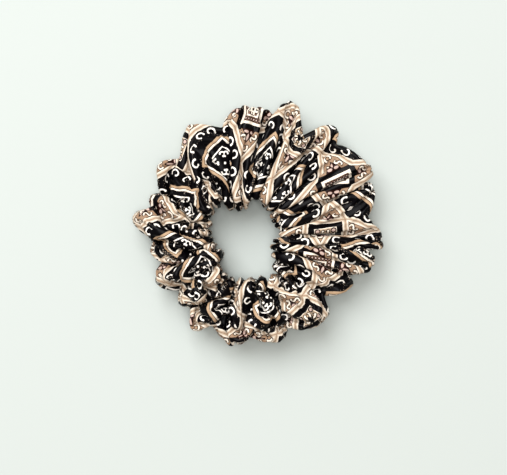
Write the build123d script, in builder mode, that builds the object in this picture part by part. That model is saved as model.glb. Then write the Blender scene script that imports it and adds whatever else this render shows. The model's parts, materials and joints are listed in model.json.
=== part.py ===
"""A printed satin scrunchie, lying flat.

One strip of satin is sewn into a tube, gathered onto a ring of flat woven elastic, and closed.
The cloth stands here as a solid ring of gathers, with the elastic in a channel inside it.
The scrunchie stretches open along X, so the casing and the elastic are each in two halves.
Millimetres. The origin is under the middle of the ring, on the surface that it lies on, +Z up.
"""

import os
from math import cos, degrees, radians, sin

from build123d import *

# The hole sits off the middle of the ring, because the gathers fan out further on one side.
HOLE_CENTRE_X = -5.8
HOLE_CENTRE_Y = -7.7
OPENING_RADIUS = 15.5

# The core of the cloth ring, a tube with facets that give it a flat underside.
CORE_RING_RADIUS = 28.5
CORE_TUBE_RADIUS = 14.5
CORE_FACETS = 16
HALVES_GAP = 0.3
FAR = 200.0

# Each gather: its direction in degrees, its reach from the hole's centre, its radius and the
# height of its middle.
GATHERS = (
    (1, 63.3, 15.5, 15.6),
    (19, 63.0, 14.0, 14.7),
    (37, 66.5, 17.0, 15.5),
    (55, 63.0, 13.0, 14.2),
    (62, 53.0, 13.5, 15.1),
    (71, 66.9, 12.0, 15.9),
    (88, 62.0, 15.0, 15.1),
    (102, 54.0, 13.0, 14.4),
    (118, 60.0, 15.0, 16.2),
    (138, 55.0, 14.5, 15.6),
    (153, 50.5, 13.5, 16.3),
    (168, 52.6, 13.0, 14.9),
    (178, 46.5, 13.0, 15.2),
    (207, 45.5, 13.5, 15.4),
    (221, 43.2, 13.5, 16.4),
    (239, 46.0, 14.5, 15.7),
    (256, 47.0, 14.0, 16.6),
    (276, 48.7, 15.5, 15.8),
    (296, 50.0, 16.0, 15.2),
    (316, 52.5, 16.5, 15.7),
    (333, 54.0, 14.0, 16.3),
    (346, 60.0, 15.0, 15.0),
)

# The flat woven elastic stands on its edge, in a channel through the cloth.
ELASTIC_RADIUS = 20.0
ELASTIC_WIDTH = 6.0
ELASTIC_THICKNESS = 1.2
LAP_LENGTH = 12.0
CHANNEL_INNER_RADIUS = 18.2
CHANNEL_OUTER_RADIUS = 25.0
CHANNEL_HEIGHT = 12.0

# The long seam's two allowances stand up from the floor of the channel as one fin.
FIN_RADIUS = 23.8
FIN_THICKNESS = 0.6
FIN_HEIGHT = 5.0

# Sewing thread.
THREAD_THICKNESS = 0.35
THREAD_SUNK = 0.1
LONG_STITCH_LENGTH = 2.4
LONG_STITCHES_PER_HALF = 22
LONG_SEAM_HEIGHT = 3.0
ZIGZAG_LEG = 4.4
ZIGZAG_LEGS = 6
ZIGZAG_SLANT = 28.0
CLOSING_SEAM_ANGLE = 192.0
CLOSING_STITCH_LENGTH = 2.4
CLOSING_STITCH_TURN = 12.0
CLOSING_STITCHES = 9

hole_axis = Axis((HOLE_CENTRE_X, HOLE_CENTRE_Y, 0), (0, 0, 1))
core_facet_radius = CORE_TUBE_RADIUS * cos(radians(180 / CORE_FACETS))
mid_height = core_facet_radius
elastic_bottom = mid_height - ELASTIC_WIDTH / 2
elastic_inner_radius = ELASTIC_RADIUS - ELASTIC_THICKNESS / 2
elastic_outer_radius = ELASTIC_RADIUS + ELASTIC_THICKNESS / 2
lap_outer_radius = elastic_outer_radius + ELASTIC_THICKNESS
lap_angle = degrees(LAP_LENGTH / elastic_outer_radius)
channel_bottom = mid_height - CHANNEL_HEIGHT / 2
zigzag_pitch = degrees(ZIGZAG_LEG * sin(radians(ZIGZAG_SLANT)) / lap_outer_radius)

left_limit = Plane.YZ.offset(HOLE_CENTRE_X - HALVES_GAP / 2)
right_limit = Plane.YZ.offset(HOLE_CENTRE_X + HALVES_GAP / 2)


def around_hole(angle, distance, height):
    """The plane at a direction and distance from the hole, with its x axis pointing outward."""
    outward = (cos(radians(angle)), sin(radians(angle)), 0)
    place = (
        HOLE_CENTRE_X + distance * outward[0],
        HOLE_CENTRE_Y + distance * outward[1],
        height,
    )
    return Plane(origin=place, x_dir=outward, z_dir=(outward[1], -outward[0], 0))


# Every gather swells to a round outer end.
gather_ends = []
for angle, reach, radius, height in GATHERS:
    gather_ends.append(around_hole(angle, reach - radius, height).location * Sphere(radius))

# The whole cloth ring, before it is cut into its two halves.
with BuildPart() as cloth_ring:
    with BuildSketch(around_hole(0, CORE_RING_RADIUS, mid_height)):
        RegularPolygon(CORE_TUBE_RADIUS, CORE_FACETS, rotation=180 / CORE_FACETS)
    revolve(axis=hole_axis)
    # All the gathers join the ring in one step, which keeps its surface sound.
    add(gather_ends)
    # It rests on a flat underside.
    Box(FAR, FAR, FAR, align=(Align.CENTER, Align.CENTER, Align.MAX), mode=Mode.SUBTRACT)
    # The hair goes through the opening.
    with Locations((HOLE_CENTRE_X, HOLE_CENTRE_Y, mid_height)):
        Cylinder(OPENING_RADIUS, FAR, mode=Mode.SUBTRACT)
    # The channel holds the elastic.
    with BuildSketch(Plane.XY.offset(channel_bottom)) as channel_profile:
        with Locations((HOLE_CENTRE_X, HOLE_CENTRE_Y)):
            Circle(CHANNEL_OUTER_RADIUS)
            Circle(CHANNEL_INNER_RADIUS, mode=Mode.SUBTRACT)
    extrude(channel_profile.sketch, amount=CHANNEL_HEIGHT, mode=Mode.SUBTRACT)
    # The seam allowances stand in the channel.
    with BuildSketch(Plane.XY.offset(channel_bottom)) as fin_profile:
        with Locations((HOLE_CENTRE_X, HOLE_CENTRE_Y)):
            Circle(FIN_RADIUS + FIN_THICKNESS / 2)
            Circle(FIN_RADIUS - FIN_THICKNESS / 2, mode=Mode.SUBTRACT)
    extrude(fin_profile.sketch, amount=FIN_HEIGHT)

with BuildPart() as casing_left:
    add(cloth_ring.part)
    split(bisect_by=left_limit, keep=Keep.BOTTOM)

with BuildPart() as casing_right:
    add(cloth_ring.part)
    split(bisect_by=right_limit, keep=Keep.TOP)

# The elastic ring, before it is cut into its two halves.
with BuildPart() as elastic_ring:
    with BuildSketch(Plane.XY.offset(elastic_bottom)):
        with Locations((HOLE_CENTRE_X, HOLE_CENTRE_Y)):
            Circle(elastic_outer_radius)
            Circle(elastic_inner_radius, mode=Mode.SUBTRACT)
    extrude(amount=ELASTIC_WIDTH)

with BuildPart() as elastic_left:
    add(elastic_ring.part)
    split(bisect_by=left_limit, keep=Keep.BOTTOM)

# The two ends of the elastic lap at the right, one outside the other.
lap_start = around_hole(-lap_angle / 2, elastic_outer_radius, elastic_bottom)
with BuildPart() as elastic_right:
    add(elastic_ring.part)
    split(bisect_by=right_limit, keep=Keep.TOP)
    with BuildSketch(lap_start) as lap_section:
        Rectangle(ELASTIC_THICKNESS, ELASTIC_WIDTH, align=(Align.MIN, Align.MIN))
    revolve(axis=hole_axis, revolution_arc=lap_angle)

# One row of zigzag thread along the lap holds the ring closed.
with BuildPart() as elastic_join_stitches:
    for leg in range(ZIGZAG_LEGS):
        angle = (leg - (ZIGZAG_LEGS - 1) / 2) * zigzag_pitch
        slant = ZIGZAG_SLANT if leg % 2 else -ZIGZAG_SLANT
        place = around_hole(angle, lap_outer_radius - THREAD_SUNK, mid_height)
        with Locations(place.location * Location((0, 0, 0), (slant, 0, 0))):
            Box(
                THREAD_THICKNESS,
                ZIGZAG_LEG,
                THREAD_THICKNESS,
                align=(Align.MIN, Align.CENTER, Align.CENTER),
            )


def sew_long_seam(first_angle):
    """Adds half of the long seam's stitches, on the inner side of the fin, from an angle on."""
    spacing = 180 / LONG_STITCHES_PER_HALF
    face_radius = FIN_RADIUS - FIN_THICKNESS / 2 + THREAD_SUNK
    for stitch in range(LONG_STITCHES_PER_HALF):
        angle = first_angle + (stitch + 0.5) * spacing
        place = around_hole(angle, face_radius, channel_bottom + LONG_SEAM_HEIGHT)
        with Locations(place.location):
            Box(
                THREAD_THICKNESS,
                THREAD_THICKNESS,
                LONG_STITCH_LENGTH,
                align=(Align.MAX, Align.CENTER, Align.CENTER),
            )


with BuildPart() as long_seam_stitches_left:
    sew_long_seam(90)

with BuildPart() as long_seam_stitches_right:
    sew_long_seam(-90)

# The closing seam crosses the top of the ring in the valley between two gathers.
with BuildPart() as closing_seam_stitches:
    seam_middle = around_hole(CLOSING_SEAM_ANGLE, CORE_RING_RADIUS, mid_height)
    for stitch in range(CLOSING_STITCHES):
        turn = 90 + (stitch - (CLOSING_STITCHES - 1) / 2) * CLOSING_STITCH_TURN
        step = Location((0, 0, 0), (0, 0, turn)) * Location((CORE_TUBE_RADIUS - THREAD_SUNK, 0, 0))
        with Locations(seam_middle.location * step):
            Box(
                THREAD_THICKNESS,
                CLOSING_STITCH_LENGTH,
                THREAD_THICKNESS,
                align=(Align.MIN, Align.CENTER, Align.CENTER),
            )

pieces = {
    "casing_left": casing_left,
    "casing_right": casing_right,
    "elastic_left": elastic_left,
    "elastic_right": elastic_right,
    "elastic_join_stitches": elastic_join_stitches,
    "long_seam_stitches_left": long_seam_stitches_left,
    "long_seam_stitches_right": long_seam_stitches_right,
    "closing_seam_stitches": closing_seam_stitches,
}

os.makedirs("parts", exist_ok=True)
for name, piece in pieces.items():
    piece.part.label = name
    export_step(piece.part, f"parts/{name}.step")
    size = piece.part.bounding_box()
    print(name, round(piece.part.volume, 1), size.min, size.max)
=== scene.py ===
import json
from math import pi, sqrt

import bpy
import numpy as np
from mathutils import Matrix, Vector


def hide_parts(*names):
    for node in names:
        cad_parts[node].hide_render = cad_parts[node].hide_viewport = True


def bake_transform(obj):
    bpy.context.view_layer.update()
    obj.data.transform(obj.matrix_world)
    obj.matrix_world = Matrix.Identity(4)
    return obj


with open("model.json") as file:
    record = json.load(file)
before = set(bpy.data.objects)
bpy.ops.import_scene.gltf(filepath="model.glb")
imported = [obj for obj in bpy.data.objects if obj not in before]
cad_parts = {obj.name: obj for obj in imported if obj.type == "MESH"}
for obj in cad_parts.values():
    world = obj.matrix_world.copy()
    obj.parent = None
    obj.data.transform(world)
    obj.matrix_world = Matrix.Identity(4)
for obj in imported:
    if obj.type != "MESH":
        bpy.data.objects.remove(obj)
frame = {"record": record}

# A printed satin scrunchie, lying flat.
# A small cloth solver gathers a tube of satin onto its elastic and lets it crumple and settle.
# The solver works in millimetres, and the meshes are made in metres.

MM = 0.001
TINY = np.float32(1e-9)

# the colour sockets of a mix node, which shares its names with sockets of other kinds
MIX_A = 6
MIX_B = 7
MIX_RESULT = 2

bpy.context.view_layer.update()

# ------------------------------------------------------------------ sizes, in millimetres
TUBE_LENGTH = 560.0
TUBE_ROUND = 112.0
SEAM_ALLOWANCE = 5.0
CLOTH_THICKNESS = 0.24
LONG_SEAM_AT = 0.8

ELASTIC_WIDTH = 6.0
ELASTIC_THICKNESS = 1.2
ELASTIC_FROM_EDGE = 4.0
ELASTIC_LAP = 12.0
ELASTIC_HEIGHT = 14.2
LAP_STEP = 1.35
ELASTIC_ROUND = 126.0
RIB_SPACING = 1.0
RIB_HEIGHT = 0.07

THREAD_RADIUS = 0.14
SEAM_THREAD_RADIUS = 0.1
SEAM_LINE = 0.6
PLY_GAP = 0.03
STITCH_LENGTH = 2.1
STITCH_SPACING = 2.7
# the cloth rests on the closing seam's stitches, so far off the surface it lies on
STITCHES_STAND = 0.4

# ------------------------------------------------------------------ the gathers
# Each gather, anticlockwise from +X: the direction and reach of its crest, its share of the cloth,
# the lift of its outer end, its fullness (a low one has a square end), its lean, how far its cloth
# is rolled round the tube, how crumpled it is, and the direction and reach of the valley after it.
# Directions, leans and rolls are in degrees.
GATHERS = (
    (3, 62.6, 1.25, -1.0, 0.45, -3, -80, 0.7, 10.5, 57),
    (23.5, 63.2, 1.15, 0.0, 0.45, -1, -60, 0.8, 28, 62.5),
    (37, 66.0, 1.45, 4.0, 0.30, -6, -45, 0.1, 47.5, 62),
    (52, 67.8, 1.15, -2.0, 0.55, 0, -25, 0.7, 61.8, 47),
    (71.3, 66.8, 1.50, 1.5, 0.48, 0, -8, 0.6, 77.5, 59),
    (88.5, 61.4, 1.50, 2.5, 0.08, 0, 0, 0.1, 99.5, 43),
    (114.8, 59.5, 1.35, 1.0, 0.38, 1, 15, 0.8, 126, 41),
    (135.5, 53.2, 1.20, -0.5, 0.36, 3, -20, 1.3, 148.5, 40.5),
    (153, 48.0, 0.85, -3.0, 0.60, 2, 20, 1.2, 158, 41.5),
    (168, 53.8, 1.05, 1.0, 0.42, 0, -20, 1.0, 177, 44),
    (184, 44.0, 0.85, -2.0, 0.60, 2, 20, 1.3, 190.5, 36),
    (202, 45.0, 1.15, 1.5, 0.50, 2, -20, 1.3, 213, 33),
    (222, 42.0, 0.90, -2.5, 0.60, 2, 25, 1.3, 230.5, 39),
    (239.5, 46.4, 1.00, 0.5, 0.45, 0, -10, 1.3, 248, 42),
    (260, 47.4, 1.15, -0.5, 0.45, 3, 20, 1.2, 269.5, 44.5),
    (284, 47.6, 1.25, 1.5, 0.40, 5, -10, 0.9, 294, 43.5),
    (310, 51.3, 1.35, 1.5, 0.34, 4, -35, 0.5, 325.5, 35),
    (337, 53.0, 1.05, -2.0, 0.45, 0, -60, 0.7, 343, 51),
    (352, 59.0, 1.35, 2.0, 0.42, -2, -80, 0.5, 357.5, 58),
)
# The tube's two ends are sewn together in the valley after this gather.
CLOSED_AFTER = 10

# The edge of the hole: direction in degrees, and distance from the hole's centre.
HOLE_EDGE = (
    (0, 13.0),
    (20, 13.5),
    (36, 16.5),
    (50, 19.5),
    (72, 17.0),
    (90, 16.3),
    (104, 18.0),
    (118, 21.5),
    (135, 21.0),
    (155, 18.5),
    (180, 15.5),
    (197, 13.5),
    (206, 12.5),
    (218, 18.0),
    (233, 19.5),
    (250, 19.5),
    (270, 18.8),
    (290, 19.5),
    (313, 21.0),
    (335, 15.5),
)
VALLEY_DIP = 5.0
PLEATS = 28
PLEAT_DEPTH = 1.8
TUBE_MIDDLE_HEIGHT = 14.5
TALLEST_HALF = 15.0
EDGE_CLEARANCE = 0.6
# how much of the tube's round its first, smooth section uses
FIRST_ROUND = 0.93
# a section's height in the valleys, and what the crests add to it
VALLEY_HEIGHT = 0.62
CREST_HEIGHT = 0.38
# each column's spread towards its crest, and how its inner side follows its outer one
CREST_SPREAD = 0.10
INNER_FOLLOWS = 0.55
INNER_EVEN = 0.45
SEED = 3

# ------------------------------------------------------------------ the cloth solver
COLUMNS = 480
ROWS = 104
STEPS = 450
GROWING = 0.65
LAYER_GAP = 0.93 * min(TUBE_LENGTH / COLUMNS, TUBE_ROUND / ROWS)
FLOOR_GAP = 0.2
PRESSURE = 0.008
LAST_PRESSURE = 0.0
WEIGHT = 0.006
LASTING_SPEED = 0.92
TOP_SPEED = 0.35
STRETCH_FIRMNESS = 0.9
SHEAR_FIRMNESS = 0.35
BEND_FIRMNESS = 0.06
BEND_LIMIT = 0.93
WIDE_BEND = 5
WIDE_BEND_FIRMNESS = 0.08
WIDE_BEND_LIMIT = 0.6
WIDE_PUSH = 0.012
FINE_PUSH = 0.004
CONTACT_FIRMNESS = 0.8
PAIRS_EVERY = 6
PAIRS_MARGIN = 0.8
# the gathers are drawn to their places most at the hole's edge, less at their crests
HOLD_EDGE = 0.125
HOLD_CREST = 0.01
HOLD_ALL = 0.001
HOLD_WIDTH = 0.05
# the pushes have faded out at this share of the steps
SETTLED = 0.9
ELASTIC_CLEARANCE = 0.5
ELASTIC_MARGIN = 0.4

opening = next(m for m in frame["record"]["mounts"] if m["name"] == "hair_opening")
hole_x = opening["pos_m"][0] / MM
hole_y = opening["pos_m"][1] / MM


def hole_edge(direction):
    """The distance from the hole's centre to its edge, in each direction in degrees."""
    degrees, distance = np.array(HOLE_EDGE).T
    degrees = np.concatenate([degrees - 360, degrees, degrees + 360])
    distance = np.tile(distance, 3)
    slope = np.gradient(distance, degrees)
    direction = np.asarray(direction) % 360
    k = np.searchsorted(degrees, direction, side="right") - 1
    span = degrees[k + 1] - degrees[k]
    t = (direction - degrees[k]) / span
    before = (2 * t**3 - 3 * t**2 + 1) * distance[k] + (t**3 - 2 * t**2 + t) * slope[k] * span
    after = (3 * t**2 - 2 * t**3) * distance[k + 1] + (t**3 - t**2) * slope[k + 1] * span
    return before + after


def half_height(half_width, around):
    """The half height of the ellipse that has this half width and distance around."""
    low = np.full_like(half_width, 3.0)
    high = np.full_like(half_width, 30.0)
    for _ in range(30):
        middle = (low + high) / 2
        root = np.sqrt((3 * half_width + middle) * (half_width + 3 * middle))
        too_short = pi * (3 * (half_width + middle) - root) < around
        low = np.where(too_short, middle, low)
        high = np.where(too_short, high, middle)
    return middle


def ripples(random, passes, size):
    """Smooth random pushes all over the cloth, over wider areas with more passes."""
    offsets = random.standard_normal((COLUMNS, ROWS, 3))
    for _ in range(passes):
        for axis in (0, 1):
            offsets = (offsets + np.roll(offsets, 1, axis) + np.roll(offsets, -1, axis)) / 3
    return offsets / offsets.std() * size


def smoothed(values, passes):
    """Averages each column's value with its neighbours', round the ring."""
    for _ in range(passes):
        values = (values + np.roll(values, 1, 0) + np.roll(values, -1, 0)) / 3
    return values


def signed_power(value, power):
    return np.sign(value) * np.abs(value) ** power


def pleats(random, along):
    """The depth of the small uneven pleats round the hole."""
    wander = random.uniform(-0.4, 0.4, PLEATS // 2)
    places = np.arange(len(wander)) / len(wander)
    phase = PLEATS * along + np.interp(along, places, wander, period=1)
    return PLEAT_DEPTH * np.cos(2 * pi * phase)


def gathered_tube():
    """The tube bunched onto the elastic, its turn, and the push that will crumple it."""
    table = np.array(GATHERS, float).T
    crest, reach, share, lift, fullness, lean, roll, crumple, valley, valley_reach = table
    share = share / share.sum()
    ends = np.concatenate([[0], np.cumsum(share)])
    along = (np.arange(COLUMNS) + 0.5) / COLUMNS
    k = np.clip(np.searchsorted(ends, along, side="right") - 1, 0, len(GATHERS) - 1)
    place = (along - ends[k]) / share[k]
    valley_before = np.roll(valley, 1)
    valley_before[0] -= 360
    reach_before = np.roll(valley_reach, 1)

    # each column's direction, from valley to crest to valley
    eased = place + CREST_SPREAD * np.sin(2 * pi * place) / pi
    rising = valley_before[k] + (crest[k] - valley_before[k]) * 2 * eased
    falling = crest[k] + (valley[k] - crest[k]) * (2 * eased - 1)
    outer_direction = np.where(eased < 0.5, rising, falling)
    even_direction = valley_before[0] + 360 * along
    inner_direction = INNER_FOLLOWS * outer_direction + INNER_EVEN * even_direction

    # each column's section, an ellipse from the hole's edge to the gather's outer end
    swell = np.sin(pi * place)
    floor_reach = reach_before[k] + (valley_reach[k] - reach_before[k]) * place - VALLEY_DIP
    outer_reach = floor_reach + (reach[k] - floor_reach) * swell ** fullness[k]
    inner_reach = hole_edge(outer_direction) + EDGE_CLEARANCE
    half_width = (outer_reach - inner_reach) / 2
    middle_reach = (outer_reach + inner_reach) / 2
    height = np.minimum(half_height(half_width, TUBE_ROUND * FIRST_ROUND), TALLEST_HALF)
    height = height * (VALLEY_HEIGHT + CREST_HEIGHT * swell**0.6)

    middles = (ends[1:] + ends[:-1]) / 2
    rolled = smoothed(np.interp(along, middles, np.radians(roll), period=1), 12)
    turn = np.arange(ROWS) / ROWS * 2 * pi + rolled[:, None]
    outward = (1 - np.cos(turn)) / 2
    distance = middle_reach[:, None] - half_width[:, None] * signed_power(np.cos(turn), 0.9)
    direction = inner_direction[:, None] * (1 - outward) + outer_direction[:, None] * outward
    direction = np.radians(direction + (lean[k] * swell)[:, None] * outward**1.5)
    z = TUBE_MIDDLE_HEIGHT + (lift[k] * swell**0.8)[:, None] * outward
    z = z + height[:, None] * signed_power(np.sin(turn), 0.85)
    x = hole_x + distance * np.cos(direction)
    y = hole_y + distance * np.sin(direction)
    cloth = np.stack([x, y, z], axis=-1)
    random = np.random.default_rng(SEED)
    cloth += outward_normals(cloth) * (pleats(random, along)[:, None] * (1 - outward) ** 2)[..., None]
    cloth[..., 2] = np.maximum(cloth[..., 2], FLOOR_GAP)
    push = ripples(random, 8, WIDE_PUSH) + ripples(random, 2, FINE_PUSH)
    push *= smoothed(crumple[k], 6)[:, None, None]
    return cloth.astype(np.float32), turn, push.astype(np.float32)


def gaps(cloth, along, around):
    """The distance from each point to the one so many columns and rows on."""
    offset = np.roll(cloth, (-along, -around), (0, 1)) - cloth
    return np.sqrt(np.einsum("ijk,ijk->ij", offset, offset))


def settle_pairs(cloth, along, around, rest, firmness, only_push=False):
    """Moves every two points, so many columns and rows apart, towards their rest distance."""
    if along:
        points, lengths = cloth, rest
    else:
        points, lengths = cloth.swapaxes(0, 1), rest.swapaxes(0, 1)
    step = along or around
    slant = around if along else 0
    for turn in (0, 1):
        near = np.flatnonzero(np.arange(len(points)) // step % 2 == turn)
        far = (near + step) % len(points)
        start = points[near]
        offset = np.roll(points[far], -slant, axis=1) - start
        length = np.sqrt(np.einsum("ijk,ijk->ij", offset, offset)) + TINY
        share = (1 - lengths[near] / length) * np.float32(firmness / 2)
        if only_push:
            share = np.minimum(share, 0)
        offset *= share[..., None]
        points[near] = start + offset
        points[far] -= np.roll(offset, slant, axis=1)


def close_pairs(cloth, reach):
    """Every two points nearer than reach that aren't neighbours on the cloth."""
    points = cloth.reshape(-1, 3)
    total = len(points)
    cell = np.floor((points - points.min(0)) / reach).astype(np.int64) + 1
    size = cell.max(0) + 2
    key = (cell[:, 0] * size[1] + cell[:, 1]) * size[2] + cell[:, 2]
    order = np.argsort(key, kind="stable")
    sorted_key = key[order]
    firsts, seconds = [], []
    for dx in (-1, 0, 1):
        for dy in (-1, 0, 1):
            for dz in (-1, 0, 1):
                shift = (dx * size[1] + dy) * size[2] + dz
                if shift < 0:
                    continue
                begin = np.searchsorted(sorted_key, sorted_key + shift, side="left")
                end = np.searchsorted(sorted_key, sorted_key + shift, side="right")
                if shift == 0:
                    begin = np.arange(total) + 1
                count = np.maximum(end - begin, 0)
                found = np.repeat(np.arange(total), count)
                within = np.arange(count.sum()) - np.repeat(np.cumsum(count) - count, count)
                firsts.append(order[found])
                seconds.append(order[np.repeat(begin, count) + within])
    first = np.concatenate(firsts)
    second = np.concatenate(seconds)
    columns = np.abs(first // ROWS - second // ROWS)
    rows = np.abs(first % ROWS - second % ROWS)
    columns = np.minimum(columns, COLUMNS - columns)
    rows = np.minimum(rows, ROWS - rows)
    offset = points[first] - points[second]
    near = np.einsum("ij,ij->i", offset, offset) < reach * reach
    kept = near & ((columns > 2) | (rows > 2))
    return first[kept], second[kept]


def keep_layers_apart(cloth, first, second):
    """Pushes apart the points of different layers that have come too near."""
    points = cloth.reshape(-1, 3)
    offset = points[first] - points[second]
    squared = np.einsum("ij,ij->i", offset, offset)
    hit = squared < LAYER_GAP * LAYER_GAP
    first, second, offset = first[hit], second[hit], offset[hit]
    length = np.sqrt(squared[hit]) + TINY
    offset *= ((LAYER_GAP - length) / length * np.float32(CONTACT_FIRMNESS / 2))[:, None]
    total = len(points)
    hits = np.bincount(first, minlength=total) + np.bincount(second, minlength=total)
    ease = 1 / np.sqrt(np.maximum(hits, 1))
    for axis in range(3):
        push = np.bincount(first, weights=offset[:, axis], minlength=total)
        push -= np.bincount(second, weights=offset[:, axis], minlength=total)
        points[:, axis] += (push * ease).astype(np.float32)


def keep_off_elastic(cloth):
    """Keeps the cloth on its own side of the elastic inside it."""
    x = cloth[..., 0] - hole_x
    y = cloth[..., 1] - hole_y
    distance = np.hypot(x, y) + TINY
    direction = np.degrees(np.arctan2(y, x))
    beyond = distance - hole_edge(direction) - ELASTIC_FROM_EDGE
    clearance = np.where(beyond > 0, LAP_STEP, 0) + ELASTIC_THICKNESS / 2 + ELASTIC_CLEARANCE
    level = np.abs(cloth[..., 2] - ELASTIC_HEIGHT) < ELASTIC_WIDTH / 2 + ELASTIC_MARGIN
    push = np.where(level, np.sign(beyond) * np.maximum(clearance - np.abs(beyond), 0), 0)
    cloth[..., 0] += (x / distance * push).astype(np.float32)
    cloth[..., 1] += (y / distance * push).astype(np.float32)


def outward_normals(cloth):
    along = np.roll(cloth, -1, 0) - np.roll(cloth, 1, 0)
    around = np.roll(cloth, -1, 1) - np.roll(cloth, 1, 1)
    normal = np.cross(around, along)
    return normal / (np.linalg.norm(normal, axis=-1, keepdims=True) + TINY)


def smoothstep(t):
    t = min(max(t, 0.0), 1.0)
    return t * t * (3 - 2 * t)


def crumpled_tube():
    """Gives the gathered tube its full cloth little by little, and lets it settle."""
    cloth, turn, push = gathered_tube()
    column_gap = TUBE_LENGTH / COLUMNS
    row_gap = TUBE_ROUND / ROWS
    slant_gap = float(np.hypot(column_gap, row_gap))
    links = (
        (1, 0, column_gap, STRETCH_FIRMNESS),
        (0, 1, row_gap, STRETCH_FIRMNESS),
        (1, 1, slant_gap, SHEAR_FIRMNESS),
        (1, -1, slant_gap, SHEAR_FIRMNESS),
    )
    bunched = [gaps(cloth, along, around) for along, around, _, _ in links]
    goal = cloth.copy()
    at_edge = np.exp((np.cos(turn) - 1) / HOLD_WIDTH)
    at_crest = np.exp((-np.cos(turn) - 1) / HOLD_WIDTH)
    held = HOLD_EDGE * at_edge + HOLD_CREST * at_crest + HOLD_ALL
    held = held[..., None].astype(np.float32)
    previous = cloth.copy()
    for step in range(STEPS):
        grown = smoothstep(step / (GROWING * STEPS))
        motion = (cloth - previous) * np.float32(LASTING_SPEED)
        speed = np.linalg.norm(motion, axis=-1, keepdims=True) + TINY
        previous = cloth.copy()
        cloth = cloth + motion * np.minimum(1, TOP_SPEED / speed)
        let_out = smoothstep((step / STEPS - GROWING) / (SETTLED - GROWING))
        pressure = PRESSURE + (LAST_PRESSURE - PRESSURE) * let_out
        cloth += outward_normals(cloth) * np.float32(pressure)
        cloth += push * np.float32(1 - let_out)
        cloth[..., 2] -= np.float32(WEIGHT)
        cloth += (goal - cloth) * held
        rests = []
        for (along, around, full, firmness), start in zip(links, bunched):
            rest = (start + (full - start) * grown).astype(np.float32)
            rests.append(rest)
            settle_pairs(cloth, along, around, rest, firmness)
        settle_pairs(cloth, 2, 0, rests[0] * 2 * BEND_LIMIT, BEND_FIRMNESS, only_push=True)
        settle_pairs(cloth, 0, 2, rests[1] * 2 * BEND_LIMIT, BEND_FIRMNESS, only_push=True)
        wide = WIDE_BEND * WIDE_BEND_LIMIT
        settle_pairs(cloth, WIDE_BEND, 0, rests[0] * wide, WIDE_BEND_FIRMNESS, only_push=True)
        settle_pairs(cloth, 0, WIDE_BEND, rests[1] * wide, WIDE_BEND_FIRMNESS, only_push=True)
        if step % PAIRS_EVERY == 0:
            first, second = close_pairs(cloth, LAYER_GAP + PAIRS_MARGIN)
        keep_layers_apart(cloth, first, second)
        keep_off_elastic(cloth)
        cloth[..., 2] = np.maximum(cloth[..., 2], FLOOR_GAP)
    return cloth


# ------------------------------------------------------------------ meshes
def new_piece(name, points, faces, material):
    """A smooth object made from points in millimetres."""
    mesh = bpy.data.meshes.new(name)
    mesh.from_pydata((np.asarray(points, float) * MM).tolist(), [], [list(face) for face in faces])
    mesh.polygons.foreach_set("use_smooth", [True] * len(mesh.polygons))
    mesh.materials.append(material)
    mesh.update()
    piece = bpy.data.objects.new(name, mesh)
    bpy.context.scene.collection.objects.link(piece)
    return piece


# the corners of a grid's face, in columns and rows on from its first point
CORNERS = ((0, 0), (0, 1), (1, 1), (1, 0))
THREAD_TIP = 0.4
THREAD_START_SIDE = (0.31, 0.17, 0.93)


def grid_faces(columns, rows, closed_columns=True, closed_rows=True):
    """The four-sided faces between the points of a grid."""
    i = np.arange(columns if closed_columns else columns - 1)[:, None]
    j = np.arange(rows if closed_rows else rows - 1)[None, :]
    corners = [(i + di) % columns * rows + (j + dj) % rows for di, dj in CORNERS]
    return np.stack(np.broadcast_arrays(*corners), axis=-1).reshape(-1, 4)


def grid_uv(column, row, columns, rows):
    """The cloth's own coordinates at the corners of each face of a grid."""
    corners = []
    for di, dj in CORNERS:
        corner = np.broadcast_arrays((column + di) / columns, (row + dj) / rows)
        corners.append(np.stack(corner, axis=-1).reshape(-1, 2))
    return np.stack(corners, axis=1)


def set_uv(piece, values):
    """Stores the cloth's own coordinates, padded with zeros for the faces that have none."""
    layer = piece.data.uv_layers.new(name="cloth")
    flat = np.zeros(len(piece.data.loops) * 2, np.float32)
    flat[: values.size] = values.ravel()
    layer.data.foreach_set("uv", flat)


def unit(vectors):
    return vectors / (np.linalg.norm(vectors, axis=-1, keepdims=True) + 1e-12)


def thread_along(path, radius, sides=6):
    """The points and faces of a round thread that follows a path, narrowed at its ends."""
    path = np.asarray(path, float)
    tangent = unit(np.gradient(path, axis=0))
    side = unit(np.cross(tangent, THREAD_START_SIDE))
    up = np.cross(side, tangent)
    turn = np.arange(sides) / sides * 2 * pi
    radii = np.full(len(path), radius)
    radii[0] = radii[-1] = radius * THREAD_TIP
    ring = side[:, None] * np.cos(turn)[:, None] + up[:, None] * np.sin(turn)[:, None]
    points = (path[:, None] + ring * radii[:, None, None]).reshape(-1, 3)
    faces = grid_faces(len(path), sides, closed_columns=False)[:, ::-1].tolist()
    faces.append(list(range(sides)))
    faces.append(list(range(len(points) - 1, len(points) - 1 - sides, -1)))
    return points, faces


def threads(name, paths, material, radius=THREAD_RADIUS):
    """One piece made of many short lengths of thread."""
    points, faces, used = [], [], 0
    for path in paths:
        some_points, some_faces = thread_along(path, radius)
        points.append(some_points)
        faces.extend([[corner + used for corner in face] for face in some_faces])
        used += len(some_points)
    return new_piece(name, np.concatenate(points), faces, material)


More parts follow.
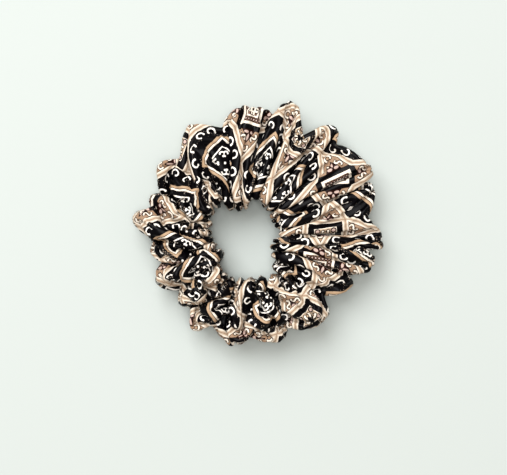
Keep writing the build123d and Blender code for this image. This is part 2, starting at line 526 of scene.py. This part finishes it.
# ------------------------------------------------------------------ shader arithmetic
class Value:
    """A number that shader nodes work out. It adds, multiplies and compares like a number."""

    def __init__(self, tree, socket):
        self.tree = tree
        self.socket = socket

    def math(self, operation, *others):
        node = self.tree.nodes.new("ShaderNodeMath")
        node.operation = operation
        for socket, given in zip(node.inputs, (self, *others)):
            if isinstance(given, Value):
                self.tree.links.new(given.socket, socket)
            else:
                socket.default_value = given
        return Value(self.tree, node.outputs[0])

    def __add__(self, other):
        return self.math("ADD", other)

    def __sub__(self, other):
        return self.math("SUBTRACT", other)

    def __mul__(self, other):
        return self.math("MULTIPLY", other)

    def __truediv__(self, other):
        return self.math("DIVIDE", other)

    def __lt__(self, other):
        return self.math("LESS_THAN", other)

    def __gt__(self, other):
        return self.math("GREATER_THAN", other)

    def __and__(self, other):
        return self.math("MULTIPLY", other)

    def __abs__(self):
        return self.math("ABSOLUTE")

    def root(self):
        return self.math("SQRT")

    def wrapped(self, period):
        """The signed distance from the nearest multiple of the period."""
        return self.math("WRAP", period / 2, -period / 2)


def linear(hex_colour):
    """A colour written as in a stylesheet, as linear red, green, blue and alpha."""
    parts = [int(hex_colour[i : i + 2], 16) / 255 for i in (1, 3, 5)]
    return tuple(c / 12.92 if c < 0.04045 else ((c + 0.055) / 1.055) ** 2.4 for c in parts) + (1.0,)


def painted(under, mask, over):
    """The colour under, with the colour over where the mask is 1."""
    tree = mask.tree
    mix = tree.nodes.new("ShaderNodeMix")
    mix.data_type = "RGBA"
    tree.links.new(mask.socket, mix.inputs["Factor"])
    for socket, given in ((mix.inputs[MIX_A], under), (mix.inputs[MIX_B], over)):
        if isinstance(given, str):
            socket.default_value = linear(given)
        else:
            tree.links.new(given, socket)
    return mix.outputs[MIX_RESULT]


def from_point(x, y, at_x, at_y):
    """The distance from a point."""
    dx = x - at_x
    dy = y - at_y
    return (dx * dx + dy * dy).root()


# ------------------------------------------------------------------ the print
# Square tiles with a triangle on each side make stars, double bands edge the stars, and the large
# fields between the stars hold rows of scrolls round a nested diamond.
CREAM = "#f2e8da"
BAND_EDGE = "#eadfd0"
BAND_MIDDLE = "#c8b6a1"
BAND_LINE = "#9f8570"
TAN = "#bba58c"
ROSE = "#a58a73"
PALE_ROSE = "#cdb5ab"
AMBER = "#bba084"
RUST = "#7e6150"
BROWN = "#2c110a"
BLACK = "#070509"
INK = "#100604"
WHITE = "#fffaf2"

HALF_SQUARE = 9.4
REPEAT = 2 * HALF_SQUARE * (1 + sqrt(3))
PRINT_STARTS = -405.0
PRINT_ASIDE = -73.5
HALF_BAND = 1.65
INLAY = 4.9
SCROLL_STROKE = 0.40
SCROLL_OUTLINE = 0.36


def scroll(colour, x, y, centre, radius, opening_side, ink, outline=None):
    """A C-shaped scroll with a dot at each end, open towards a direction."""
    at_x, at_y = centre
    open_x, open_y = opening_side
    ring = abs(from_point(x, y, at_x, at_y) - radius)
    towards = (x - at_x) * open_x + (y - at_y) * open_y
    ends = []
    for side in (-1, 1):
        end_x = at_x + radius * (0.5 * open_x - side * 0.87 * open_y)
        end_y = at_y + radius * (0.5 * open_y + side * 0.87 * open_x)
        ends.append(from_point(x, y, end_x, end_y))
    if outline:
        edge = SCROLL_STROKE + SCROLL_OUTLINE
        colour = painted(colour, (ring < edge) & (towards < radius * 0.5 + 0.3), outline)
        for end in ends:
            colour = painted(colour, end < edge + 0.12, outline)
    colour = painted(colour, (ring < SCROLL_STROKE) & (towards < radius * 0.5), ink)
    for end in ends:
        colour = painted(colour, end < SCROLL_STROKE + 0.12, ink)
    return colour


def wave(colour, along, depth, start, middle, radius):
    """An S-shaped scroll along a band, from two half rings."""
    halves = []
    for number, way in ((0, 1), (1, -1)):
        ring = abs(from_point(along, depth, start + 2 * radius * number, middle) - radius)
        beside = (depth - middle) * way
        halves.append((ring, beside))
    for ring, beside in halves:
        colour = painted(colour, (ring < SCROLL_STROKE + SCROLL_OUTLINE) & (beside < 0.5), INK)
    for ring, beside in halves:
        colour = painted(colour, (ring < SCROLL_STROKE) & (beside < 0.3), CREAM)
    return colour


def ellipse(x, y, centre, half_sizes):
    """Below 1 inside the ellipse."""
    dx = (x - centre[0]) / half_sizes[0]
    dy = (y - centre[1]) / half_sizes[1]
    return (dx * dx + dy * dy).root()


def layered(colour, distance, layers):
    """Paints layers one over another, each where the distance is over its own limit."""
    for limit, ink in layers:
        colour = painted(colour, distance > limit, ink)
    return colour


def chain_square(x, y, edge):
    """A square with a dark frame, a chain of beads and four small scrolls."""
    colour = layered(BLACK, edge, ((2.2, CREAM), (3.5, INK), (3.7, RUST)))
    bead = ellipse(y.wrapped(1.55), edge, (0, 4.75), (0.72, 0.95))
    in_chain = edge > 3.7
    colour = painted(colour, (bead < 1) & in_chain, INK)
    colour = painted(colour, (bead < 0.5) & in_chain, PALE_ROSE)
    colour = layered(colour, edge, ((5.75, INK), (5.95, CREAM), (6.75, INK), (6.95, RUST)))
    colour = scroll(colour, x, y, (1.7, 0), 0.8, (1, 0), CREAM, INK)
    return painted(colour, from_point(x, y, 0, 0) < 0.6, BLACK)


def scroll_square(x, y, edge):
    """A square inside the bands, with a dark frame and four scrolls round a dark cross."""
    colour = layered(BLACK, edge, ((4.2, CREAM), (4.5, TAN)))
    colour = painted(colour, from_point(x, y, 3.7, 3.7) < 1.35, INK)
    colour = painted(colour, from_point(x, y, 3.7, 3.7) < 0.85, PALE_ROSE)
    colour = scroll(colour, x, y, (2.95, 0), 1.35, (1, 0), CREAM, INK)
    colour = painted(colour, (x < 2.1) & (y < 0.75), BLACK)
    return painted(colour, from_point(x, y, 0, 0) < 1.35, BLACK)


def star_arm(out, y, along_band, depth):
    """The triangle on a square's side, with scrolls along its edges and three petals in it."""
    colour = layered(ROSE, depth, ((INLAY - 0.3, INK), (INLAY, BROWN)))
    for centre, sizes in (((4.1, 0), (1.7, 0.62)), ((1.7, 1.6), (0.72, 1.15))):
        petal = ellipse(out, y, centre, sizes)
        colour = painted(colour, petal < 1, PALE_ROSE)
    colour = wave(colour, along_band, depth, 5.2, 3.3, 0.98)
    return scroll(colour, out, y, (9.2, 0), 1.55, (-1, 0), CREAM, INK)


def field(x, y, along_band, depth):
    """The dark field between the stars, with scrolls along its edge and a nested diamond."""
    colour = BLACK
    for place, lean in ((5.0, 0.45), (11.9, -0.45)):
        colour = scroll(colour, along_band, depth, (place, 4.4), 1.75, (lean, 0.9), WHITE)
    centre_x = (x - REPEAT / 2) * -1
    centre_y = (y - REPEAT / 2) * -1
    diamond = (centre_x + centre_y) * -sqrt(0.5)
    outer_frame = ((-11.6, INK), (-11.3, AMBER), (-10.1, INK), (-9.8, CREAM))
    inner_frame = ((-8.8, BLACK), (-6.2, WHITE), (-5.5, BLACK))
    colour = layered(colour, diamond, outer_frame + inner_frame)
    colour = scroll(colour, centre_x, centre_y, (3.3, 0.9), 1.25, (-0.6, 0.8), WHITE)
    colour = scroll(colour, centre_x, centre_y, (0.9, 4.2), 1.1, (0.6, -0.8), WHITE)
    return painted(colour, from_point(centre_x, centre_y, 0, 0) < 0.6, WHITE)


def print_colour(along, across):
    """The print's colour at a place in millimetres along the strip and across it."""
    column = (along / REPEAT + 0.5).math("FLOOR")
    row = (across / REPEAT + 0.5).math("FLOOR")
    banded = (column + row).math("PINGPONG", 1.0) > 0.5
    from_middle = abs(along.wrapped(REPEAT))
    from_row = abs(across.wrapped(REPEAT))
    x = from_middle.math("MAXIMUM", from_row)
    y = from_middle.math("MINIMUM", from_row)

    # outward from the star's slanting edge, and along that edge
    outward = (x - HALF_SQUARE) * 0.5 + (y - HALF_SQUARE) * (sqrt(3) / 2)
    along_band = (x - HALF_SQUARE) * (sqrt(3) / 2) - (y - HALF_SQUARE) * 0.5
    edge = (x - HALF_SQUARE) * -1
    square = painted(chain_square(x, y, edge), banded, scroll_square(x, y, edge))
    arm = star_arm(x - HALF_SQUARE, y, along_band, outward * -1)
    star = painted(arm, x < HALF_SQUARE, square)
    star = painted(star, abs(x - HALF_SQUARE - 0.2) < 0.2, INK)
    colour = painted(field(x, y, along_band, outward), outward < 0, star)

    # the double bands, which also go round every other square
    unbanded = (banded - 1) * -50
    from_band = abs(outward).math("MINIMUM", abs(edge) + unbanded)
    layers = ((HALF_BAND, INK), (HALF_BAND - 0.25, BAND_EDGE), (0.75, BAND_MIDDLE), (0.2, BAND_LINE))
    for width, ink in layers:
        colour = painted(colour, from_band < width, ink)
    return colour


# ------------------------------------------------------------------ materials
def new_material(name, roughness, sheen=0.0, specular=0.3):
    """A material with its shader, and a bump node whose height is still open."""
    material = bpy.data.materials.new(name)
    material.use_nodes = True
    tree = material.node_tree
    shader = tree.nodes["Principled BSDF"]
    shader.inputs["Roughness"].default_value = roughness
    shader.inputs["Specular IOR Level"].default_value = specular
    shader.inputs["Sheen Weight"].default_value = sheen
    shader.inputs["Sheen Roughness"].default_value = 0.4
    bump = tree.nodes.new("ShaderNodeBump")
    tree.links.new(bump.outputs["Normal"], shader.inputs["Normal"])
    return material, tree, shader, bump


def strip_place(tree, length, width):
    """The place on a strip of cloth or elastic, in millimetres along it and across it."""
    uv = tree.nodes.new("ShaderNodeUVMap")
    uv.uv_map = "cloth"
    apart = tree.nodes.new("ShaderNodeSeparateXYZ")
    tree.links.new(uv.outputs["UV"], apart.inputs["Vector"])
    return Value(tree, apart.outputs["X"]) * length, Value(tree, apart.outputs["Y"]) * width


def noise(tree, scale, detail=3.0, vector=None):
    """Noise in the object's own space, with scale in features a metre."""
    if vector is None:
        place = tree.nodes.new("ShaderNodeTexCoord")
        vector = place.outputs["Object"]
    node = tree.nodes.new("ShaderNodeTexNoise")
    node.inputs["Scale"].default_value = scale
    node.inputs["Detail"].default_value = detail
    tree.links.new(vector, node.inputs["Vector"])
    return Value(tree, node.outputs["Fac"])


def satin_weave(along, across):
    """The height of a satin weave: long floats one way, with small steps between them."""
    float_row = (across / 0.22).math("FLOOR")
    ridge = (across * (2 * pi / 0.22)).math("COSINE")
    shift = float_row * 0.44
    step = ((along + shift) * (2 * pi / 1.1)).math("COSINE")
    return ridge * 0.6 + step * 0.4


def printed_satin():
    material, tree, shader, bump = new_material("printed_satin", 0.36, specular=0.14)
    along, across = strip_place(tree, TUBE_LENGTH, TUBE_ROUND)
    wander_x = (noise(tree, 380.0) - 0.5) * 0.5 + PRINT_STARTS
    wander_y = (noise(tree, 390.0, 2.0) - 0.5) * 0.5 + PRINT_ASIDE
    colour = print_colour(along + wander_x, across + wander_y)
    # the dye takes a little unevenly
    fade = noise(tree, 900.0, 4.0) * 0.16 + 0.87
    tone = tree.nodes.new("ShaderNodeHueSaturation")
    tree.links.new(colour, tone.inputs["Color"])
    tree.links.new(fade.socket, tone.inputs["Value"])
    tree.links.new(tone.outputs["Color"], shader.inputs["Base Color"])
    gloss = noise(tree, 250.0) * 0.16 + 0.29
    tree.links.new(gloss.socket, shader.inputs["Roughness"])
    creases = noise(tree, 420.0, 5.0)
    near_seam = abs(along.wrapped(TUBE_LENGTH)).math("MINIMUM", abs(across.wrapped(TUBE_ROUND)))
    groove = (near_seam / 0.5).math("MINIMUM", 1.0)
    height = satin_weave(along, across) * 0.02 + creases * 0.5 + groove * 0.3
    tree.links.new(height.socket, bump.inputs["Height"])
    bump.inputs["Strength"].default_value = 0.35
    bump.inputs["Distance"].default_value = 0.0006
    return material


def satin_wrong_side():
    """The back of the cloth, where the print only shows through faintly."""
    material, tree, shader, bump = new_material("satin_wrong_side", 0.7, sheen=0.1)
    along, across = strip_place(tree, TUBE_LENGTH, TUBE_ROUND)
    printed = print_colour(along + PRINT_STARTS, across + PRINT_ASIDE)
    shown = tree.nodes.new("ShaderNodeMix")
    shown.data_type = "RGBA"
    shown.inputs["Factor"].default_value = 0.55
    shown.inputs[MIX_B].default_value = linear("#b9a998")
    tree.links.new(printed, shown.inputs[MIX_A])
    tree.links.new(shown.outputs[MIX_RESULT], shader.inputs["Base Color"])
    tree.links.new(satin_weave(across, along).socket, bump.inputs["Height"])
    bump.inputs["Strength"].default_value = 0.4
    bump.inputs["Distance"].default_value = 0.00008
    return material


def woven_elastic():
    """Covered rubber cores side by side, with the weft showing between them."""
    material, tree, shader, bump = new_material("woven_elastic", 0.8, sheen=0.3)
    along, across = strip_place(tree, ELASTIC_ROUND, 2 * ELASTIC_WIDTH)
    weft = (along * (2 * pi / 0.7)).math("COSINE")
    cord = (across * (2 * pi / RIB_SPACING)).math("COSINE")
    height = abs(weft) * 0.5 + cord * 0.5
    # lighter on the raised cords and weft, darker in the grooves between them: painted shade, with some
    # random tone from the noise
    groove_shade_and_tone = height * 0.12 + noise(tree, 1500.0) * 0.12 + 0.78
    base = tree.nodes.new("ShaderNodeHueSaturation")
    base.inputs["Color"].default_value = linear("#f0ece2")
    tree.links.new(groove_shade_and_tone.socket, base.inputs["Value"])
    tree.links.new(base.outputs["Color"], shader.inputs["Base Color"])
    tree.links.new(height.socket, bump.inputs["Height"])
    bump.inputs["Strength"].default_value = 0.6
    bump.inputs["Distance"].default_value = 0.0001
    return material


def spun_thread(name, colour):
    """Two-ply sewing thread."""
    material, tree, shader, bump = new_material(name, 0.6, sheen=0.25)
    place = tree.nodes.new("ShaderNodeTexCoord")
    twist = tree.nodes.new("ShaderNodeTexWave")
    twist.bands_direction = "DIAGONAL"
    twist.inputs["Scale"].default_value = 900.0
    twist.inputs["Distortion"].default_value = 1.5
    tree.links.new(place.outputs["Object"], twist.inputs["Vector"])
    ply = Value(tree, twist.outputs["Fac"])
    # lighter on the ply ridges, darker in the twist's grooves: painted shade, with some random tone
    # from the noise
    groove_shade_and_tone = ply * 0.25 + noise(tree, 2500.0) * 0.1 + 0.70
    base = tree.nodes.new("ShaderNodeHueSaturation")
    base.inputs["Color"].default_value = linear(colour)
    tree.links.new(groove_shade_and_tone.socket, base.inputs["Value"])
    tree.links.new(base.outputs["Color"], shader.inputs["Base Color"])
    tree.links.new(ply.socket, bump.inputs["Height"])
    bump.inputs["Strength"].default_value = 0.5
    bump.inputs["Distance"].default_value = 0.00006
    return material


# ------------------------------------------------------------------ the pieces
ALLOWANCE_POINTS = 5
# the wrong side's weave repeats so often across the allowance
ALLOWANCE_SHARE = 12
SEAM_SUNK = 0.06
SEAM_PROUD = 0.8
CLOSING_LIFTS = (0.02, 0.14, 0.02)
ELASTIC_COLUMNS = 260
ELASTIC_ROWS = 37
# the elastic steps out over this many degrees, ending a little before the lap
STEP_STARTS = 14
STEP_SPREAD = 12
EDGE_POWER = 12
ZIGZAG_LEGS = 7
ZIGZAG_HALF = 2.1
ZIGZAG_SHARE = 0.8
ZIGZAG_LIFT = 0.08


def closing_column():
    """The column of the cloth where the tube's two ends meet."""
    share = np.array(GATHERS, float)[:, 2]
    return round(COLUMNS * share[: CLOSED_AFTER + 1].sum() / share.sum()) % COLUMNS


def long_seam_row():
    """The row of the cloth where the strip's two long edges meet, on the underside."""
    return round(LONG_SEAM_AT * ROWS)


def make_casing(cloth):
    """The tube of satin as a real thickness of cloth, with its right side and its wrong side."""
    offset = outward_normals(cloth) * (CLOTH_THICKNESS / 2)
    right_side = (cloth + offset).reshape(-1, 3)
    wrong_side = (cloth - offset).reshape(-1, 3)
    faces = grid_faces(COLUMNS, ROWS)
    all_faces = np.concatenate([faces, faces[:, ::-1] + len(right_side)])
    casing = new_piece("casing", np.concatenate([right_side, wrong_side]), all_faces, printed_satin())
    casing.data.materials.append(satin_wrong_side())
    casing.data.polygons.foreach_set("material_index", np.repeat([0, 1], len(faces)))
    column = (np.arange(COLUMNS)[:, None] - closing_column()) % COLUMNS
    row = (np.arange(ROWS)[None, :] - long_seam_row()) % ROWS
    right_uv = grid_uv(column, row, COLUMNS, ROWS)
    set_uv(casing, np.concatenate([right_uv, right_uv[:, ::-1]]))
    return casing


def inside_wall(cloth, height, above):
    """A line along the inside of the casing, so far from the long seam and so far off the cloth."""
    place = long_seam_row() + height / (TUBE_ROUND / ROWS)
    row = int(place)
    t = place - row
    off = cloth - outward_normals(cloth) * (CLOTH_THICKNESS / 2 + above)
    return off[:, row % ROWS] * (1 - t) + off[:, (row + 1) % ROWS] * t


def make_seam_allowance(cloth, material):
    """The two raw edges of the strip, pressed to one side inside the tube along the long seam."""
    heights = np.linspace(0, SEAM_ALLOWANCE, ALLOWANCE_POINTS)
    points, faces, uv, used = [], [], [], 0
    column = (np.arange(COLUMNS)[:, None] - closing_column()) % COLUMNS
    for ply in (0, 1):
        lowest = PLY_GAP + ply * (CLOTH_THICKNESS + PLY_GAP)
        profile = [inside_wall(cloth, height, lowest) for height in heights]
        profile += [inside_wall(cloth, height, lowest + CLOTH_THICKNESS) for height in heights[::-1]]
        strip = np.stack(profile, axis=1)
        rows = strip.shape[1]
        points.append(strip.reshape(-1, 3))
        faces.append(grid_faces(COLUMNS, rows) + used)
        uv.append(grid_uv(column, np.arange(rows)[None, :], COLUMNS, rows * ALLOWANCE_SHARE))
        used += COLUMNS * rows
    allowance = new_piece("seam_allowance", np.concatenate(points), np.concatenate(faces), material)
    set_uv(allowance, np.concatenate(uv))
    return allowance


def make_long_seam(cloth, material):
    """The long seam's stitches, through both plies of the allowance close to the fold."""
    top = 2 * (CLOTH_THICKNESS + PLY_GAP)
    rises = (-SEAM_SUNK, SEAM_THREAD_RADIUS * SEAM_PROUD)
    lines = [inside_wall(cloth, SEAM_LINE, top + rise) for rise in rises]
    count = round(TUBE_LENGTH / STITCH_SPACING)
    paths = []
    for stitch in range(count):
        places = (stitch + np.linspace(0, STITCH_LENGTH / STITCH_SPACING, 4)) * COLUMNS / count
        path = []
        for place, line in zip(places, (lines[0], lines[1], lines[1], lines[0])):
            before = int(place) % COLUMNS
            t = place - int(place)
            path.append(line[before] * (1 - t) + line[(before + 1) % COLUMNS] * t)
        paths.append(path)
    return threads("long_seam_thread", paths, material, SEAM_THREAD_RADIUS)


def make_closing_seam(cloth, material):
    """The stitches across the join of the tube's two ends."""
    normal = outward_normals(cloth)
    middle = closing_column()
    paths = []
    count = round(TUBE_ROUND / STITCH_SPACING)
    for stitch in range(count):
        j = round(stitch * ROWS / count) % ROWS
        path = []
        for step, lift in zip((-1, 0, 1), CLOSING_LIFTS):
            i = (middle + step) % COLUMNS
            path.append(cloth[i, (j + step) % ROWS] + normal[i, j] * (CLOTH_THICKNESS / 2 + lift))
        paths.append(path)
    return threads("closing_seam_thread", paths, material)


def elastic_point(direction, outward, height):
    """A place on the elastic ring: direction in degrees, and how far out of its middle and how high."""
    distance = hole_edge(direction) + ELASTIC_FROM_EDGE + outward
    angle = np.radians(direction)
    x = hole_x + distance * np.cos(angle)
    y = hole_y + distance * np.sin(angle)
    z = ELASTIC_HEIGHT + STITCHES_STAND + height
    return np.stack(np.broadcast_arrays(x, y, z), axis=-1)


def lap_half_angle():
    return np.degrees(ELASTIC_LAP / 2 / (hole_edge(0) + ELASTIC_FROM_EDGE))


def make_elastic():
    """One strip of woven elastic, bent into a ring, with its end lapped outside its start."""
    lap = lap_half_angle()
    direction = np.linspace(-lap, 360 + lap, ELASTIC_COLUMNS)
    rise = np.clip((direction - (360 - lap - STEP_STARTS)) / STEP_SPREAD, 0, 1)
    step_out = LAP_STEP * rise * rise * (3 - 2 * rise)
    across = np.linspace(-ELASTIC_WIDTH / 2, ELASTIC_WIDTH / 2, ELASTIC_ROWS)
    from_middle = np.abs(across) / (ELASTIC_WIDTH / 2)
    rounding = np.sqrt(np.clip(1 - from_middle**EDGE_POWER, 0.02, 1))
    ribs = RIB_HEIGHT * np.abs(np.cos(across * pi / RIB_SPACING))
    half = (ELASTIC_THICKNESS / 2 - RIB_HEIGHT + ribs) * rounding
    heights = np.concatenate([across, across[::-1]])
    outwards = np.concatenate([half, -half[::-1]])
    points = elastic_point(direction[:, None], step_out[:, None] + outwards[None, :], heights[None, :])
    columns, rows = len(direction), len(heights)
    faces = grid_faces(columns, rows, closed_columns=False)[:, ::-1].tolist()
    faces.append(list(range(rows)))
    faces.append(list(range(columns * rows - 1, columns * rows - 1 - rows, -1)))
    elastic = new_piece("elastic", points.reshape(-1, 3), faces, woven_elastic())
    column = np.arange(columns - 1)[:, None]
    set_uv(elastic, grid_uv(column, np.arange(rows)[None, :], columns, rows)[:, ::-1])
    return elastic


def make_elastic_join(material):
    """One zigzag of thread over the lap, and its other face on the inside."""
    lap = lap_half_angle()
    outside = ELASTIC_THICKNESS / 2 + LAP_STEP + ZIGZAG_LIFT
    inside = -ELASTIC_THICKNESS / 2 - ZIGZAG_LIFT
    paths = []
    for outward, shift in ((outside, 0), (inside, 1)):
        path = []
        for corner in range(ZIGZAG_LEGS + 1):
            direction = ZIGZAG_SHARE * lap * (2 * corner / ZIGZAG_LEGS - 1)
            height = ZIGZAG_HALF if (corner + shift) % 2 else -ZIGZAG_HALF
            path.append(elastic_point(np.float64(direction), outward, height))
        fine = []
        for start, end in zip(path, path[1:]):
            fine.extend(start + (end - start) * t for t in np.linspace(0, 1, 6, endpoint=False))
        paths.append(fine + [path[-1]])
    return threads("elastic_join_thread", paths, material)


# ------------------------------------------------------------------ the camera, light and floor
VIEW_WIDTH = 0.2361
CAMERA_DISTANCE = 0.60
CAMERA_PLACE = (-0.0023, -0.0060)
SEEN_HEIGHT = 0.015


def make_camera():
    """Looks straight down."""
    data = bpy.data.cameras.new("camera")
    data.lens = data.sensor_width * CAMERA_DISTANCE / VIEW_WIDTH
    camera = bpy.data.objects.new("camera", data)
    camera.location = (*CAMERA_PLACE, CAMERA_DISTANCE + SEEN_HEIGHT)
    bpy.context.scene.collection.objects.link(camera)
    bpy.context.scene.camera = camera
    bpy.context.scene.view_settings.view_transform = "Standard"
    bpy.context.scene.view_settings.look = "Medium High Contrast"


def make_softbox(name, place, size, energy):
    lamp = bpy.data.lights.new(name, "AREA")
    lamp.size = size
    lamp.energy = energy
    softbox = bpy.data.objects.new(name, lamp)
    softbox.location = place
    softbox.rotation_euler = (Vector() - softbox.location).to_track_quat("-Z", "Y").to_euler()
    bpy.context.scene.collection.objects.link(softbox)


def make_studio():
    world = bpy.data.worlds.new("studio")
    world.use_nodes = True
    background = world.node_tree.nodes["Background"]
    background.inputs["Color"].default_value = linear("#fff6ee")
    background.inputs["Strength"].default_value = 0.42
    bpy.context.scene.world = world
    make_softbox("window", (-0.46, 0.80, 1.44), 1.2, 25.0)
    make_softbox("ceiling", (0.02, -0.04, 1.60), 0.5, 8.2)
    bpy.ops.mesh.primitive_plane_add(size=3.0, location=(0, 0, 0))
    floor = bpy.context.object
    floor.name = "floor"
    material, tree, shader, bump = new_material("pale_floor", 0.9)
    shader.inputs["Base Color"].default_value = linear("#c1c8c5")
    floor.data.materials.append(material)


# ------------------------------------------------------------------ the whole
make_camera()
make_studio()
cloth = crumpled_tube()
cloth[..., 2] += STITCHES_STAND

dark_thread = spun_thread("dark_thread", "#2a2429")
pale_thread = spun_thread("pale_thread", "#f3efe6")
casing = make_casing(cloth)
allowance = make_seam_allowance(cloth, casing.data.materials[1])
long_seam = make_long_seam(cloth, dark_thread)
closing_seam = make_closing_seam(cloth, dark_thread)
elastic = make_elastic()
elastic_join = make_elastic_join(pale_thread)

# each piece's placement is applied to its mesh
for piece in (casing, allowance, long_seam, closing_seam, elastic, elastic_join):
    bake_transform(piece)

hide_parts("casing_left", "casing_right")
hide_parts("elastic_left", "elastic_right")
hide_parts("elastic_join_stitches")
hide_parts("long_seam_stitches_left", "long_seam_stitches_right")
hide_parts("closing_seam_stitches")
